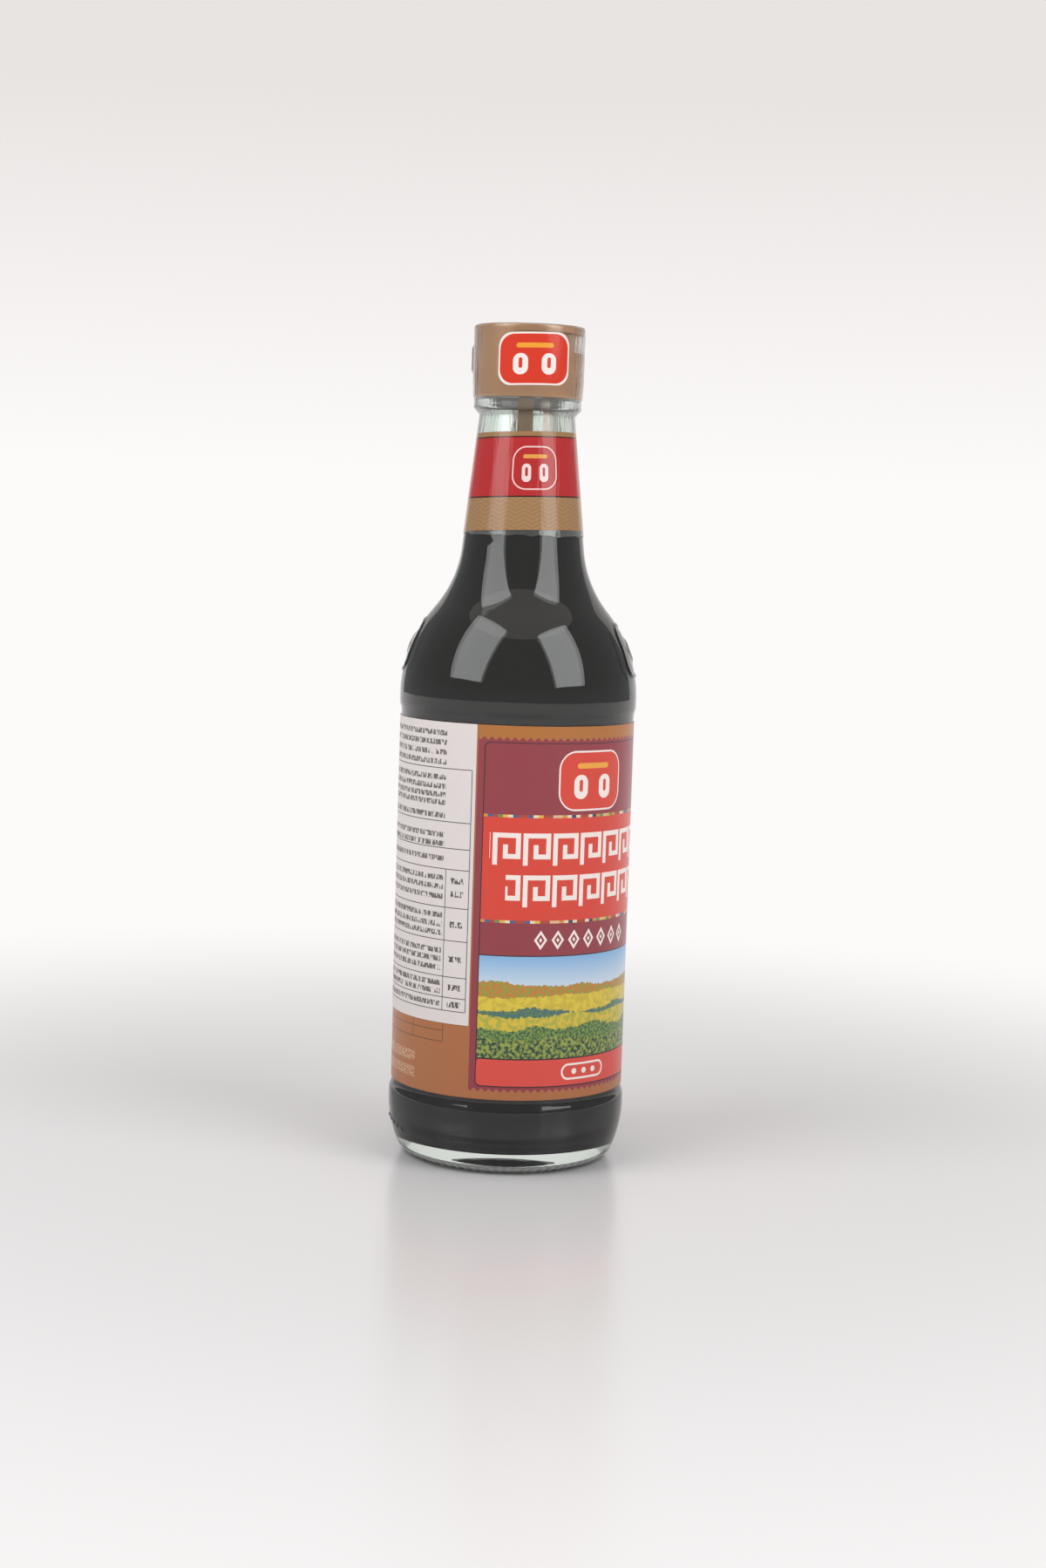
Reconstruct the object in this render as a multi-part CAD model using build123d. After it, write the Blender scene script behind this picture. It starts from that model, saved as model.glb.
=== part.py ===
from build123d import *
import os
from math import acos, atan2, cos, hypot, pi, radians, sin, sqrt, tan

# Soy sauce bottle: a clear glass bottle of dark sauce, closed by a two-part plastic flip-top cap under a
# shrink film, with a paper label all round the body and a sticker over part of the label.
# Millimetres, +Z up. The origin is the centre of the foot on the surface it stands on, and -Y is the
# middle of the label's front panel. An azimuth is the angle round Z from -Y towards +X.

# Glass, from the foot up. Heights are those of each stretch, and radii are to the outside.
BODY_R = 34.95            # widest part of the heel
FOOT_CORNER_R = 5.7       # radius of the rounded lower edge
HEEL_ARC_R = 35.0         # radius of the long curve of the heel's side
HEEL_RISE = 17.0          # floor to the widest part
HEEL_BAND = 1.5           # straight stretch above the widest part
HEEL_STEP = 4.0           # height of the step in to the label panel
PANEL_INSET = 0.72        # how far the label panel lies inside the heel
PANEL_HEIGHT = 108.9
SHOULDER_STEP = 3.4       # height of the step out above the label panel
SHOULDER_INSET = 0.15     # how far the shoulder lies inside the heel
SHOULDER_BAND = 1.9       # straight stretch before the shoulder turns in
SHOULDER_ARC_R = 39.0     # radius of the shoulder's outward curve
SHOULDER_STRAIGHT = 2.5   # straight stretch between the two curves
NECK_BEND_R = 33.0        # radius of the curve from the shoulder into the neck
NECK_RISE = 81.6          # from the shoulder's turn up to the narrowest part of the neck
NECK_TOP_R = 13.78        # narrowest part of the neck
NECK_TAPER = 6.1          # degrees from vertical
BEAD_RISE = 1.1           # bare glass between the neck's narrowest part and the bead
BEAD_LIP = 1.72           # how far the bead stands out past the neck, and the radius of its underside
BEAD_BAND = 1.9           # straight side of the bead
FINISH_STEP = 0.78        # how far the glass inside the cap lies inside the neck
FINISH_HEIGHT = 10.9

# Inside of the glass
WALL = 2.6
FINISH_WALL = 2.6
PUNT_HEIGHT = 4.6         # hollow under the base
PUNT_FLANK = 1.2          # slope from the bearing ring into that hollow
BASE_THICKNESS = 4.2
FLOOR_DOME_R = 110.0      # curve of the inner floor
FLOOR_CORNER_R = 8.0      # rounding between the inner floor and the wall

# Bearing ring
BEARING_WIDTH = 2.8       # flat of the ring
NOTCHES = 72
NOTCH_R = 0.55            # radius of each radial groove across the ring's outer edge
NOTCH_REACH = 1.0         # how far the grooves run into the flat, which stays unbroken inside them

# Raised ornament on the shoulder, one on each side of the mould seam
SEAM_AZIMUTH = -43.5
RELIEF_DEPTH = 0.45
RELIEF_WIDTH = 21.0
RELIEF_HEIGHT = 16.0
RELIEF_CORNER_R = 5.3
RELIEF_LINE = 1.3         # width of the raised outline
RELIEF_MARK = (5.2, 4.0)  # half width and half height of the lozenge in it
RELIEF_RISE = 14.5        # centre above the shoulder's turn

# Sauce
FILL_RISE = 57.0          # surface of the sauce above the shoulder's turn

# Cap
CAP_GAP = 0.3             # play between the cap and the glass under it
CAP_WALL = 2.75
CAP_DRAFT = 0.25          # how far the collar widens from its foot
CAP_FLARE = 4.7           # height over which it does
COLLAR_HEIGHT = 10.7
LID_HEIGHT = 9.95
LID_EDGE = 0.7            # rounding of the lid's top edge
THREAD_GAP = 0.25         # play between the collar and the glass finish
RECESS_AZIMUTH = 24.0     # middle of the thumb recess
RECESS_LEDGE = 2.4        # recess floor above the collar
RECESS_RIM = 2.1          # thickness of the lid's rim over the recess
RECESS_DEPTH = 2.1
RECESS_SHIFT = 2.7        # offset of the recess's round back wall from the axis
HINGE_WIDTH = 34.0        # degrees
HINGE_PROUD = 0.8
HINGE_BELOW = 2.9
HINGE_ABOVE = 3.6

# Shrink film over the cap and neck
FILM = 0.12
FILM_GAP = 0.05
FILM_DROP = 34.6          # reach below the neck's narrowest part
FILM_LIP = 3.4            # how far the film turns in over the lid

# Label and sticker
PAPER = 0.15
PASTE = 0.02
LABEL_LOW = 0.4           # bare glass between the lower step and the label
LABEL_HIGH = 1.1          # bare glass between the label and the upper step
STICKER = 0.12
STICKER_RIGHT = -59.5     # azimuths of the sticker's two edges
STICKER_LEFT = -187.0
STICKER_LOW = 20.9        # sticker's lower edge above the label's

# Radii that follow
PANEL_R = BODY_R - PANEL_INSET
SHOULDER_R = BODY_R - SHOULDER_INSET
FOOT_FLAT_R = BODY_R - HEEL_ARC_R + sqrt((HEEL_ARC_R - FOOT_CORNER_R) ** 2 - (HEEL_RISE - FOOT_CORNER_R) ** 2)
BEARING_INNER_R = FOOT_FLAT_R - BEARING_WIDTH
BEAD_R = NECK_TOP_R + BEAD_LIP
FINISH_R = NECK_TOP_R - FINISH_STEP
BORE_R = FINISH_R - FINISH_WALL
COLLAR_BORE_R = FINISH_R + THREAD_GAP
CAP_R = COLLAR_BORE_R + CAP_WALL
CAP_FOOT_R = CAP_R - CAP_DRAFT

# Heights that follow
HEEL_TOP = HEEL_RISE + HEEL_BAND
PANEL_LOW = HEEL_TOP + HEEL_STEP
PANEL_TOP = PANEL_LOW + PANEL_HEIGHT
SHOULDER_LOW = PANEL_TOP + SHOULDER_STEP
SHOULDER_TURN = SHOULDER_LOW + SHOULDER_BAND
NECK_TOP = SHOULDER_TURN + NECK_RISE
BEAD_LOW = NECK_TOP + BEAD_RISE
BEAD_TOP = BEAD_LOW + BEAD_LIP + BEAD_BAND
MOUTH = BEAD_TOP + FINISH_HEIGHT
FILL = SHOULDER_TURN + FILL_RISE
COLLAR_LOW = BEAD_TOP + CAP_GAP
COLLAR_TOP = COLLAR_LOW + COLLAR_HEIGHT
LID_TOP = COLLAR_TOP + LID_HEIGHT
FILM_LOW = NECK_TOP - FILM_DROP
LABEL_LOW_Z = PANEL_LOW + LABEL_LOW
LABEL_TOP_Z = PANEL_TOP - LABEL_HIGH


def at(r, z):
    """A point of a half section, at radius r and height z."""
    return Vector(r, 0, z)


def line(p, q):
    return Edge.make_line(p, q)


def arc(centre, radius, start, end):
    """An arc about a centre between two angles in degrees, measured from +X towards +Z."""
    points = []
    for angle in (start, (start + end) / 2, end):
        step = at(radius * cos(radians(angle)), radius * sin(radians(angle)))
        points.append(centre + step)
    return Edge.make_three_point_arc(*points)


def ogee(p, q):
    """Two equal arcs that leave p and reach q vertically."""
    wide = abs(q.X - p.X) / 2
    high = (q.Z - p.Z) / 2
    radius = (wide ** 2 + high ** 2) / (2 * wide)
    turn = atan2(high, radius - wide) * 180 / pi
    if q.X < p.X:
        lower = arc(at(p.X - radius, p.Z), radius, 0, turn)
        upper = arc(at(q.X + radius, q.Z), radius, 180 + turn, 180)
    else:
        lower = arc(at(p.X + radius, p.Z), radius, 180, 180 - turn)
        upper = arc(at(q.X - radius, q.Z), radius, -turn, 0)
    return [lower, upper]


def turned(edges):
    """The solid that a closed half section makes about Z."""
    return Solid.revolve(Face(Wire(edges)), 360, Axis.Z)


def shoulder_slope():
    """Degrees from vertical of the steepest part of the shoulder, where its two curves meet the straight."""
    reach = SHOULDER_ARC_R + NECK_BEND_R
    lean = radians(NECK_TAPER)
    across = NECK_TOP_R - (SHOULDER_R - SHOULDER_ARC_R)
    gap = across * cos(lean) + NECK_RISE * sin(lean) + NECK_BEND_R
    return NECK_TAPER + (acos(gap / hypot(reach, SHOULDER_STRAIGHT)) - atan2(SHOULDER_STRAIGHT, reach)) * 180 / pi


def neck_radius(z, inset=0.0):
    """Radius of the tapering neck at a height, less an inset square to its side."""
    lean = radians(NECK_TAPER)
    return NECK_TOP_R + (NECK_TOP - z) * tan(lean) - inset / cos(lean)


def shoulder_edges(inset, top):
    """Shoulder and neck from the shoulder's turn up to a height, set in from the outside of the glass."""
    slope = shoulder_slope()
    out = at(cos(radians(slope)), sin(radians(slope)))
    up = at(-sin(radians(slope)), cos(radians(slope)))
    first = at(SHOULDER_R - SHOULDER_ARC_R, SHOULDER_TURN)
    second = first + out * (SHOULDER_ARC_R + NECK_BEND_R) + up * SHOULDER_STRAIGHT
    curve = arc(first, SHOULDER_ARC_R - inset, 0, slope)
    bend = arc(second, NECK_BEND_R + inset, 180 + slope, 180 + NECK_TAPER)
    straight = line(curve @ 1, bend @ 0)
    return [curve, straight, bend, line(bend @ 1, at(neck_radius(top, inset), top))]


def foot_edges():
    """Rounded lower edge and heel, from the bearing ring up to the widest part."""
    heel = at(BODY_R - HEEL_ARC_R, HEEL_RISE)
    corner = at(FOOT_FLAT_R, FOOT_CORNER_R)
    turn = atan2(heel.Z - corner.Z, corner.X - heel.X) * 180 / pi
    return [arc(corner, FOOT_CORNER_R, -90, -turn), arc(heel, HEEL_ARC_R, -turn, 0)]


def outside_edges():
    """Outside of the glass from the bearing ring's outer edge to the top of the bead."""
    edges = foot_edges()
    edges.append(line(edges[-1] @ 1, at(BODY_R, HEEL_TOP)))
    edges += ogee(at(BODY_R, HEEL_TOP), at(PANEL_R, PANEL_LOW))
    edges.append(line(at(PANEL_R, PANEL_LOW), at(PANEL_R, PANEL_TOP)))
    edges += ogee(at(PANEL_R, PANEL_TOP), at(SHOULDER_R, SHOULDER_LOW))
    edges.append(line(at(SHOULDER_R, SHOULDER_LOW), at(SHOULDER_R, SHOULDER_TURN)))
    edges += shoulder_edges(0, NECK_TOP)
    edges.append(line(edges[-1] @ 1, at(NECK_TOP_R, BEAD_LOW)))
    edges.append(arc(at(NECK_TOP_R, BEAD_LOW + BEAD_LIP), BEAD_LIP, -90, 0))
    edges.append(line(edges[-1] @ 1, at(BEAD_R, BEAD_TOP)))
    return edges


def inside_edges(top):
    """Inside of the glass from the middle of its floor up to a height in the neck."""
    dome = at(0, PUNT_HEIGHT + BASE_THICKNESS - FLOOR_DOME_R)
    inner = PANEL_R - WALL
    reach = FLOOR_DOME_R + FLOOR_CORNER_R
    corner_r = inner - FLOOR_CORNER_R
    corner = at(corner_r, dome.Z + sqrt(reach ** 2 - corner_r ** 2))
    turn = atan2(corner.Z - dome.Z, corner.X) * 180 / pi
    edges = [arc(dome, FLOOR_DOME_R, 90, turn), arc(corner, FLOOR_CORNER_R, turn - 180, 0)]
    edges.append(line(edges[-1] @ 1, at(inner, PANEL_TOP)))
    edges += ogee(at(inner, PANEL_TOP), at(SHOULDER_R - WALL, SHOULDER_LOW))
    edges.append(line(edges[-1] @ 1, at(SHOULDER_R - WALL, SHOULDER_TURN)))
    edges += shoulder_edges(WALL, top)
    return edges


def glass_blank():
    """The bottle as it leaves the mould, before its bearing ring is grooved."""
    edges = outside_edges()
    edges.append(line(at(BEAD_R, BEAD_TOP), at(FINISH_R, BEAD_TOP)))
    edges.append(line(at(FINISH_R, BEAD_TOP), at(FINISH_R, MOUTH)))
    edges.append(line(at(FINISH_R, MOUTH), at(BORE_R, MOUTH)))
    inner = inside_edges(NECK_TOP)
    edges.append(line(at(BORE_R, MOUTH), inner[-1] @ 1))
    edges += inner
    edges.append(line(inner[0] @ 0, at(0, PUNT_HEIGHT)))
    flank = at(BEARING_INNER_R - PUNT_FLANK, PUNT_FLANK)
    punt_r = (flank.X ** 2 + (PUNT_HEIGHT - PUNT_FLANK) ** 2) / (2 * (PUNT_HEIGHT - PUNT_FLANK))
    turn = atan2(punt_r - PUNT_HEIGHT + PUNT_FLANK, flank.X) * 180 / pi
    edges.append(arc(at(0, PUNT_HEIGHT - punt_r), punt_r, 90, turn))
    edges.append(line(flank, at(BEARING_INNER_R, 0)))
    edges.append(line(at(BEARING_INNER_R, 0), edges[0] @ 0))
    return turned(edges)


def relief(azimuth):
    """A raised rounded outline with a lozenge in it, following the shoulder at one azimuth."""
    skin = shoulder_edges(-RELIEF_DEPTH, NECK_TOP)
    core = shoulder_edges(WALL / 2, NECK_TOP)
    skin += core + [line(skin[0] @ 0, core[0] @ 0), line(skin[-1] @ 1, core[-1] @ 1)]
    face = Plane(origin=(0, 0, SHOULDER_TURN + RELIEF_RISE), x_dir=(1, 0, 0), z_dir=(0, -1, 0))
    outline = RectangleRounded(RELIEF_WIDTH, RELIEF_HEIGHT, RELIEF_CORNER_R)
    thinner = 2 * RELIEF_LINE
    hole = RectangleRounded(RELIEF_WIDTH - thinner, RELIEF_HEIGHT - thinner, RELIEF_CORNER_R - RELIEF_LINE)
    wide, high = RELIEF_MARK
    mark = Polygon((0, high), (wide, 0), (0, -high), (-wide, 0))
    stamp = extrude(face * (outline - hole + mark), SHOULDER_R + RELIEF_DEPTH)
    return Rot(0, 0, azimuth) * (stamp & turned(skin))


def glass_bottle():
    glass = Part() + glass_blank()
    for side in (-90, 90):
        glass = glass + relief(SEAM_AZIMUTH + side)
    groove = Cylinder(NOTCH_R, NOTCH_REACH + FOOT_CORNER_R, align=(Align.CENTER, Align.CENTER, Align.MIN))
    groove = Pos(FOOT_FLAT_R - NOTCH_REACH, 0, 0) * Rot(0, 90, 0) * groove
    pitch = 360 / NOTCHES
    grooves = [Rot(0, 0, (number + 0.5) * pitch) * groove for number in range(NOTCHES)]
    return glass - grooves


def soy_sauce():
    edges = inside_edges(FILL)
    top = edges[-1] @ 1
    edges.append(line(top, at(0, FILL)))
    edges.append(line(at(0, FILL), edges[0] @ 0))
    return turned(edges)


def cap_collar():
    flare_top = COLLAR_LOW + CAP_FLARE
    corners = [(COLLAR_BORE_R, COLLAR_LOW), (CAP_FOOT_R, COLLAR_LOW), (CAP_R, flare_top), (CAP_R, COLLAR_TOP),
               (COLLAR_BORE_R, COLLAR_TOP), (COLLAR_BORE_R, COLLAR_LOW)]
    points = [at(r, z) for r, z in corners]
    return turned([line(p, q) for p, q in zip(points, points[1:])])


def hinge_block(grow=0.0):
    """The strap over the seam, opposite the thumb recess, grown on every free side."""
    low = COLLAR_TOP - HINGE_BELOW - grow
    high = COLLAR_TOP + HINGE_ABOVE + grow
    spread = HINGE_WIDTH + 2 * grow / CAP_R * 180 / pi
    inner = CAP_R
    outer = CAP_R + HINGE_PROUD + grow
    corners = [at(inner, low), at(outer, low), at(outer, high), at(inner, high), at(inner, low)]
    section = Face(Wire([line(p, q) for p, q in zip(corners, corners[1:])]))
    block = Solid.revolve(section, spread, Axis.Z)
    return Rot(0, 0, RECESS_AZIMUTH + 90 - spread / 2) * block


def cap_lid():
    lid = Pos(0, 0, COLLAR_TOP) * Cylinder(CAP_R, LID_HEIGHT, align=(Align.CENTER, Align.CENTER, Align.MIN))
    lid = fillet(lid.edges().sort_by(Axis.Z)[-1], LID_EDGE)
    high = LID_HEIGHT - RECESS_LEDGE - RECESS_RIM
    level = (Align.CENTER, Align.CENTER, Align.MIN)
    back = CAP_R - RECESS_DEPTH + RECESS_SHIFT
    ring = Cylinder(2 * CAP_R, high, align=level) - Pos(0, RECESS_SHIFT, 0) * Cylinder(back, high, align=level)
    front = Pos(0, -CAP_R, 0) * Box(4 * CAP_R, 2 * CAP_R, high, align=level)
    recess = Rot(0, 0, RECESS_AZIMUTH) * (ring & front)
    return lid - Pos(0, 0, COLLAR_TOP + RECESS_LEDGE) * recess + hinge_block()


def film_core(grow):
    """Everything under a skin that lies a distance outside the neck, bead and cap."""
    corners = [at(0, FILM_LOW), at(neck_radius(FILM_LOW, -grow), FILM_LOW)]
    corners.append(at(neck_radius(NECK_TOP, -grow), NECK_TOP))
    corners += [at(BEAD_R + grow, BEAD_LOW + BEAD_LIP / 2 - grow), at(BEAD_R + grow, BEAD_TOP)]
    corners += [at(CAP_FOOT_R + grow, COLLAR_LOW), at(CAP_R + grow, COLLAR_LOW + CAP_FLARE)]
    corners.append(at(CAP_R + grow, LID_TOP - LID_EDGE))
    edges = [line(p, q) for p, q in zip(corners, corners[1:])]
    edges.append(arc(at(CAP_R - LID_EDGE, LID_TOP - LID_EDGE), LID_EDGE + grow, 0, 90))
    edges.append(line(edges[-1] @ 1, at(0, LID_TOP + grow)))
    edges.append(line(at(0, LID_TOP + grow), corners[0]))
    return Part() + turned(edges) + hinge_block(grow)


def shrink_film():
    film = film_core(FILM_GAP + FILM) - film_core(FILM_GAP)
    opening = Pos(0, 0, LID_TOP) * Cylinder(CAP_R - FILM_LIP, LID_HEIGHT)
    return film - opening


def paper_ring(inner, thickness, low, high, start, end):
    """A sheet on the body between two heights and two azimuths."""
    outer = inner + thickness
    corners = [at(inner, low), at(outer, low), at(outer, high), at(inner, high), at(inner, low)]
    section = Face(Wire([line(p, q) for p, q in zip(corners, corners[1:])]))
    return Rot(0, 0, start - 90) * Solid.revolve(section, end - start, Axis.Z)


def label():
    return paper_ring(PANEL_R + PASTE, PAPER, LABEL_LOW_Z, LABEL_TOP_Z, 0, 360)


def sticker():
    inner = PANEL_R + PASTE + PAPER + PASTE
    return paper_ring(inner, STICKER, LABEL_LOW_Z + STICKER_LOW, LABEL_TOP_Z, STICKER_LEFT, STICKER_RIGHT)


os.makedirs("parts", exist_ok=True)
for make in (glass_bottle, soy_sauce, cap_collar, cap_lid, shrink_film, label, sticker):
    export_step(Part() + make(), f"parts/{make.__name__}.step")
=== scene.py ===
import bmesh
import bpy
from math import acos, asin, atan2, cos, degrees, hypot, pi, radians, sin, sqrt, tan
from mathutils import Matrix, Vector, noise

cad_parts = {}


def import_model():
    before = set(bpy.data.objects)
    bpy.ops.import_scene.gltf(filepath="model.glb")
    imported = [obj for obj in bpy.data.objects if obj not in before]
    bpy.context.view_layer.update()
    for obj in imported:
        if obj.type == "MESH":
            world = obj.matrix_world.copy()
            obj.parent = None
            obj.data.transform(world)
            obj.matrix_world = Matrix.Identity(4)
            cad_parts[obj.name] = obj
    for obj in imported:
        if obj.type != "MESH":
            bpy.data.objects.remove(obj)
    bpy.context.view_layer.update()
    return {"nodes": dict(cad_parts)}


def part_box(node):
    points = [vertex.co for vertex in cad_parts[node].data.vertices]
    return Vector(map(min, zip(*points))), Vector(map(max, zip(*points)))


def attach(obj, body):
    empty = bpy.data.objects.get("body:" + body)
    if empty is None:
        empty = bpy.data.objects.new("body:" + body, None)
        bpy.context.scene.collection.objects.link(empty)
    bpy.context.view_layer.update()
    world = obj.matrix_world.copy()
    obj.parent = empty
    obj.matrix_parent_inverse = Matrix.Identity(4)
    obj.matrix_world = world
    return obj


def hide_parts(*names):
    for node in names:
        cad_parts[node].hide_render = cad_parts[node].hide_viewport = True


# A soy sauce bottle: clear glass, dark sauce, a gold flip-top cap under a printed shrink film, a paper
# label all round and a white sticker. Half sections are in millimetres, as (radius, height), and MM turns
# them into metres. An azimuth is in degrees round Z, from -Y (the middle of the label) towards +X.

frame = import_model()

MM = 0.001
TURN_STEPS = 288           # facets round the bottle

# ---------------------------------------------------------------- sizes of the glass, from the foot up
FOOT_CORNER_R = 5.7
HEEL_R = 34.95
HEEL_ARC_R = 35.0
HEEL_RISE = 17.0
HEEL_TOP = 18.5
PANEL_R = 34.23
PANEL_LOW = 22.5
PANEL_TOP = 131.4
SHOULDER_R = 34.8
SHOULDER_LOW = 134.8
SHOULDER_TURN = 136.7
SHOULDER_ARC_R = 39.0
SHOULDER_STRAIGHT = 2.5
NECK_BEND_R = 33.0
NECK_TOP = 218.3
NECK_TOP_R = 13.78
NECK_TAPER = radians(6.1)
BEAD_LOW = 219.4
BEAD_R = 15.5
BEAD_ROUND = 1.72
BEAD_TOP = 223.02
FINISH_R = 13.0
WALL = 2.6
BORE_R = 10.4
PUNT_HEIGHT = 4.6
PUNT_FLANK = 1.2
BEARING_INNER_R = 24.2
NOTCHES = 72
NOTCH_DEPTH = 0.55
NOTCH_INNER_R = 26.0
BASE_THICKNESS = 4.2
FLOOR_DOME_R = 110.0
FLOOR_CORNER_R = 8.0
SEAM_AZIMUTH = -43.5
RELIEF_DEPTH = 0.45
RELIEF_WIDTH = 21.0
RELIEF_HEIGHT = 16.0
RELIEF_CORNER_R = 5.3
RELIEF_LINE = 1.3
RELIEF_MARK = (5.2, 4.0)
RELIEF_RISE = 14.5
RELIEF_R = SHOULDER_R * 0.93  # radius that the ornament's width is measured at
RELIEF_REACH = 30.0        # height above the shoulder's turn that holds the whole ornament
RELIEF_FLANK = 3.0         # steepness of the lozenge's edge
SEAM_DEPTH = 0.06          # the mould's parting line
SEAM_WIDTH = 0.7
SEAM_R = 20.0              # radius that the parting line's width is measured at
NOTCH_FADE = 3.0           # height over which the notches in the bearing ring run out
DOTS = 5                   # raised dots on the heel
DOT_AZIMUTH = -123.0
DOT_PITCH = 5.0            # degrees from dot to dot
DOT_TOP = 11.0
DOT_DROP = 0.5             # fall from dot to dot
DOT_RISE = 0.5
DOT_SPREAD = 0.7           # square of a dot's radius
EDGE_ANGLE = 40            # an edge that turns more than this, in degrees, stays sharp
SAME_POINT = 1e-4          # points of a half section nearer than this, in mm, are one

# ---------------------------------------------------------------- sizes of the film, paper and sauce
FILM = 0.12
FILM_GAP = 0.05
FILM_LIP = 3.4
LID_EDGE = 0.7
CAP_DRAFT = 0.25
CAP_FLARE = 4.7
HINGE_AZIMUTH = -156.0     # opposite the lid's thumb recess
HINGE_PROUD = 0.8
HINGE_SPREAD = 21.0        # half width of the bulge over the hinge, in degrees
HINGE_RANGE = (-3.6, 4.3)  # below and above the lid's seam
HINGE_MARGIN = 1.0         # the bulge runs out this far past that range
HINGE_SIDES = 3.0          # steepness of the bulge's sides
FILM_STEP = 0.2            # rise from the bead's rounding to its straight
FOLD_DEPTH = 0.09          # upright wrinkles
FOLDS = 3.0
FOLD_RISE = 0.03           # how fast the wrinkles change with height
EDGE_WAVE = 0.9            # ragged lower edge
EDGE_WAVES = 5.0
PRINT_R = 16.0             # radius that the film's print is rolled out at
PRINT_TILT = 0.032         # the print sits askew: rise towards the camera's right
PRINT_LEAN = 0.024         # and towards the camera
LABEL_PAPER = 0.15
STICKER_PAPER = 0.12
STICKER_TURN = 127.5       # degrees that the sticker covers, from its start
STICKER_START = -187.0
SAUCE_REACH = 0.1          # how far the sauce reaches into the glass
RESIDUE = 0.2              # thickness of the dried strips
RESIDUE_GAP = 0.02
RESIDUE_INSET = 0.1        # in the bore of the mouth
RESIDUE_LOW = 0.6          # foot of the strips above the level
RESIDUE_HIGH = 8.0         # top of the first strip above the neck's narrowest part
RESIDUE_DROP = 1.5         # each further strip ends this much lower
RESIDUE_STRIPS = ((-43.0, 22.0), (-14.0, 9.0), (96.0, 30.0), (150.0, 26.0))  # azimuth and width

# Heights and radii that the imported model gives
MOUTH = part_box("glass_bottle")[1].z / MM
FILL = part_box("soy_sauce")[1].z / MM
LABEL_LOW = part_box("label")[0].z / MM
LABEL_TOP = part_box("label")[1].z / MM
LABEL_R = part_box("label")[1].x / MM
STICKER_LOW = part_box("sticker")[0].z / MM
COLLAR_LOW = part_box("cap_collar")[0].z / MM
COLLAR_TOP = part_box("cap_collar")[1].z / MM
CAP_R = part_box("cap_collar")[1].x / MM
LID_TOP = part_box("cap_lid")[1].z / MM
FILM_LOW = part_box("shrink_film")[0].z / MM
STICKER_R = PANEL_R + 0.31  # over the label and its own gap

# ---------------------------------------------------------------- half sections


def arc(centre, radius, start, end, step=0.5):
    """Points along an arc, in radians from the outward radius towards up, about a step apart."""
    count = max(2, round(abs(end - start) * radius / step))
    angles = [start + (end - start) * i / count for i in range(count + 1)]
    return [(centre[0] + radius * cos(a), centre[1] + radius * sin(a)) for a in angles]


def run(start, end, step=2.0):
    """Points along a straight, about a step apart."""
    count = max(1, round(hypot(end[0] - start[0], end[1] - start[1]) / step))
    return [(start[0] + (end[0] - start[0]) * i / count, start[1] + (end[1] - start[1]) * i / count)
            for i in range(count + 1)]


def ogee(start, end):
    """Two equal arcs that leave the start and reach the end vertically."""
    wide = abs(end[0] - start[0]) / 2
    high = (end[1] - start[1]) / 2
    radius = (wide ** 2 + high ** 2) / (2 * wide)
    turn = atan2(high, radius - wide)
    if end[0] < start[0]:
        lower = arc((start[0] - radius, start[1]), radius, 0, turn)
        return lower + arc((end[0] + radius, end[1]), radius, pi + turn, pi)
    lower = arc((start[0] + radius, start[1]), radius, pi, pi - turn)
    return lower + arc((end[0] - radius, end[1]), radius, -turn, 0)


def neck_radius(z):
    """Outside of the tapering neck at a height."""
    return NECK_TOP_R + (NECK_TOP - z) * tan(NECK_TAPER)


def shoulder(inset, step=0.5):
    """Shoulder and neck, up to the neck's narrowest part, set in from the outside of the glass."""
    reach = SHOULDER_ARC_R + NECK_BEND_R
    across = NECK_TOP_R - (SHOULDER_R - SHOULDER_ARC_R)
    gap = across * cos(NECK_TAPER) + (NECK_TOP - SHOULDER_TURN) * sin(NECK_TAPER) + NECK_BEND_R
    slope = NECK_TAPER + acos(gap / hypot(reach, SHOULDER_STRAIGHT)) - atan2(SHOULDER_STRAIGHT, reach)
    first = (SHOULDER_R - SHOULDER_ARC_R, SHOULDER_TURN)
    second = (first[0] + reach * cos(slope) - SHOULDER_STRAIGHT * sin(slope),
              first[1] + reach * sin(slope) + SHOULDER_STRAIGHT * cos(slope))
    curve = arc(first, SHOULDER_ARC_R - inset, 0, slope, step)
    bend = arc(second, NECK_BEND_R + inset, pi + slope, pi + NECK_TAPER, 2 * step)
    return curve + bend + run(bend[-1], (NECK_TOP_R - inset / cos(NECK_TAPER), NECK_TOP))


def foot():
    """Rounded lower edge and heel."""
    heel = (HEEL_R - HEEL_ARC_R, HEEL_RISE)
    reach = HEEL_ARC_R - FOOT_CORNER_R
    drop = HEEL_RISE - FOOT_CORNER_R
    corner = (heel[0] + sqrt(reach ** 2 - drop ** 2), FOOT_CORNER_R)
    turn = asin(drop / reach)
    return arc(corner, FOOT_CORNER_R, -pi / 2, -turn) + arc(heel, HEEL_ARC_R, -turn, 0)


def outside():
    """Outside of the glass, from the bearing ring up to the mouth."""
    bead = (BEAD_R - BEAD_ROUND, BEAD_LOW + BEAD_ROUND)
    points = foot() + ogee((HEEL_R, HEEL_TOP), (PANEL_R, PANEL_LOW))
    points += run((PANEL_R, PANEL_LOW), (PANEL_R, PANEL_TOP), 8.0)
    points += ogee((PANEL_R, PANEL_TOP), (SHOULDER_R, SHOULDER_LOW)) + shoulder(0)
    points += arc(bead, BEAD_ROUND, -pi / 2, 0, 0.25) + [(BEAD_R, BEAD_TOP)]
    return points + [(FINISH_R, BEAD_TOP), (FINISH_R, MOUTH), (BORE_R, MOUTH)]


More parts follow.
